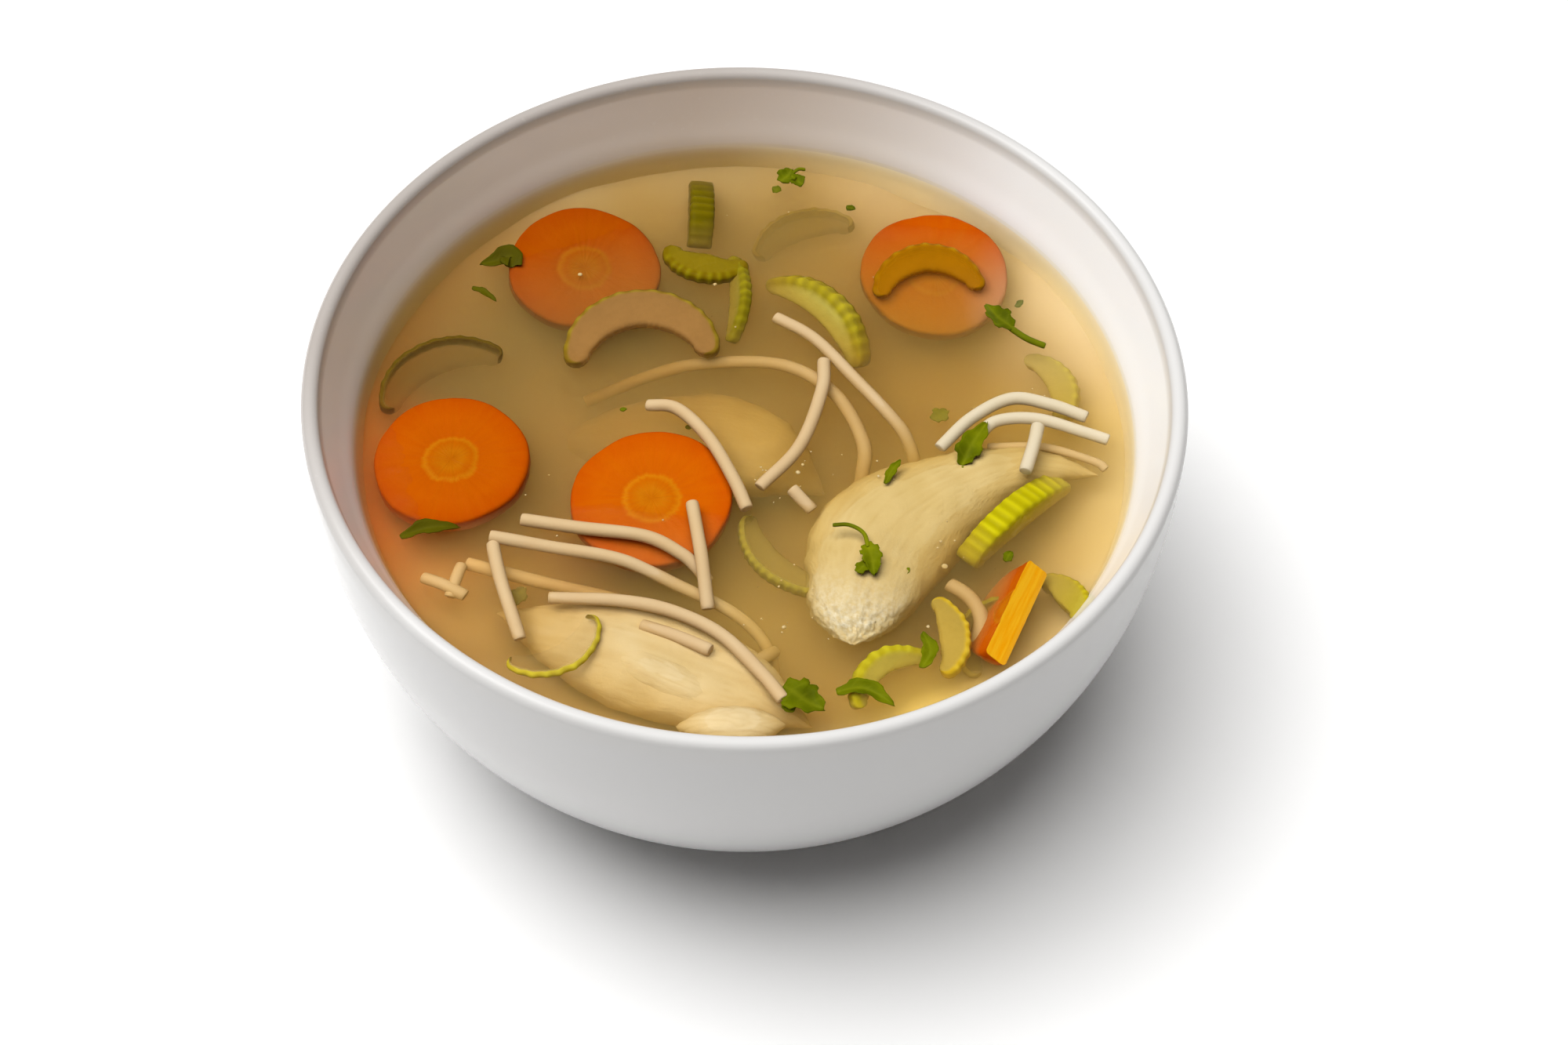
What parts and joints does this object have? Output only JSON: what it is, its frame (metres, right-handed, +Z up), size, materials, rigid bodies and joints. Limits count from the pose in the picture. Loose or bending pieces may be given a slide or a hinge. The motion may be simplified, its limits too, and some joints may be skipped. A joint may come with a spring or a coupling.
{
  "type": "bowl of chicken noodle soup",
  "caption": "White round bowl filled with clear chicken broth holding carrot slices, celery slices, chicken pieces and thin noodles; served hot, rests on its foot ring.",
  "frame": {"origin": "centre of the foot ring's underside, on the surface that the bowl stands on", "axes": "+Z up through the middle of the bowl; +Y away from the side that the picture was taken from; +X to the right of that view"},
  "size_m": [0.15, 0.15, 0.07],
  "materials": {
    "bowl": "smooth white glaze, satin gloss",
    "broth": "clear to slightly cloudy golden broth, wet gloss",
    "carrot": "cooked carrot, paler core, wet",
    "celery": "cooked celery, ribbed green skin and pale translucent flesh, wet",
    "chicken": "poached chicken breast, torn fibres, wet",
    "noodle": "cooked thin wheat noodle, wet",
    "herb": "chopped parsley leaf, wet"
  },
  "bodies": {
    "root": {"bowl": "bowl", "broth": "broth", "carrot_slice_1": "carrot", "carrot_slice_2": "carrot", "carrot_slice_3": "carrot", "carrot_slice_4": "carrot", "carrot_slice_5": "carrot", "celery_slice_1": "celery", "celery_slice_2": "celery", "celery_slice_3": "celery", "celery_slice_4": "celery", "celery_slice_5": "celery", "celery_slice_6": "celery", "celery_slice_7": "celery", "celery_slice_8": "celery", "celery_slice_9": "celery", "celery_slice_10": "celery", "celery_slice_11": "celery", "chicken_piece_1": "chicken", "chicken_piece_2": "chicken", "chicken_piece_3": "chicken", "noodle_01": "noodle", "noodle_02": "noodle", "noodle_03": "noodle", "noodle_04": "noodle", "noodle_05": "noodle", "noodle_06": "noodle", "noodle_07": "noodle", "noodle_08": "noodle", "noodle_09": "noodle", "noodle_10": "noodle", "noodle_11": "noodle", "noodle_12": "noodle", "noodle_13": "noodle"}
  },
  "joints": []
}
